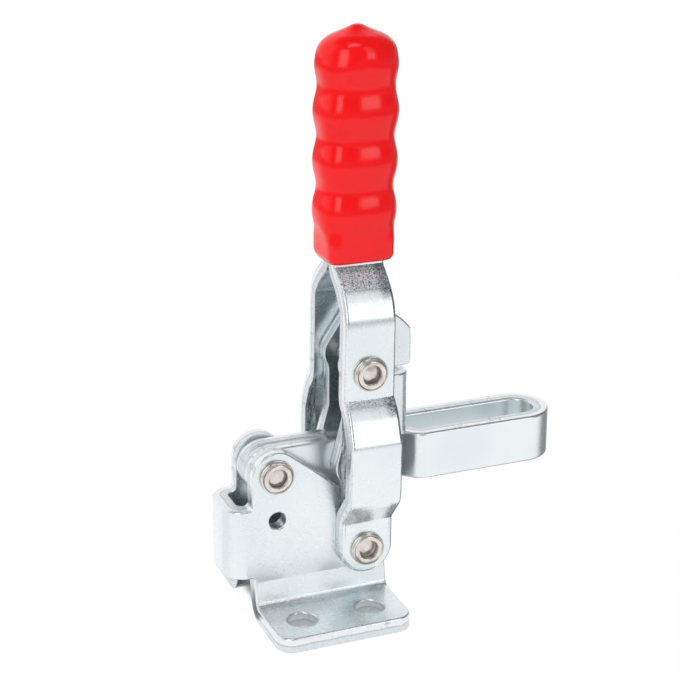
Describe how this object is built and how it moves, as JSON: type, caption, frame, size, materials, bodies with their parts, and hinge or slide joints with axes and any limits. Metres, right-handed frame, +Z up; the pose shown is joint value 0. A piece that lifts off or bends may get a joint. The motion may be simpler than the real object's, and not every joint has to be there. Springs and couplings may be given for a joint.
{
  "type": "toggle clamp",
  "caption": "Vertical-handle toggle clamp with a flanged base, riveted steel linkage, open slotted clamping bar and dipped finger grip.",
  "frame": {"origin": "centre of the four mounting holes, on the plane the flanges rest on", "axes": "+X forward along the clamping bar, +Z up along the locked handle, -Y towards the rolled rivet ends"},
  "size_m": [0.0711, 0.0428, 0.1146],
  "materials": {
    "zinc_base": "pale blue-white zinc plate, faintly mottled",
    "zinc_bar": "pale blue-white zinc plate on a bent strip",
    "zinc_link": "pale blue-white zinc plate",
    "zinc_handle": "bright zinc plate, grainy where folded",
    "rivet_steel": "warm nickel-toned rolled rivet steel",
    "red_grip": "glossy dipped vinyl"
  },
  "bodies": {
    "base": {"base_plate": "zinc_base", "base_spacer": "rivet_steel", "low_rivet": "rivet_steel", "ear_rivet_ends": "rivet_steel"},
    "handle": {"handle_plate_near": "zinc_handle", "handle_plate_far": "zinc_handle", "handle_ties": "rivet_steel", "grip": "red_grip", "link_rivet": "rivet_steel"},
    "link": {"toggle_link": "zinc_link", "bar_rivet": "rivet_steel"},
    "bar": {"u_bar": "zinc_bar", "ear_rivet_core": "rivet_steel"}
  },
  "joints": [
    {"name": "handle_swing", "type": "hinge", "parent": "base", "child": "handle", "pos_m": [0.0086, 0, 0.01315], "axis": [0, -1, 0], "range_deg": [0, 62.5]},
    {"name": "link_swing", "type": "hinge", "parent": "handle", "child": "link", "pos_m": [0.00898, 0, 0.04985], "axis": [0, -1, 0], "range_deg": [0, 83.3]},
    {"name": "bar_swing", "type": "hinge", "parent": "link", "child": "bar", "pos_m": [0.00785, 0, 0.0294], "axis": [0, 1, 0], "range_deg": [0, 45.8]}
  ],
  "couplings": [
    {"joint": "link_swing", "follows": "handle_swing", "ratio": 1.3319},
    {"joint": "bar_swing", "follows": "handle_swing", "ratio": 0.73214}
  ]
}
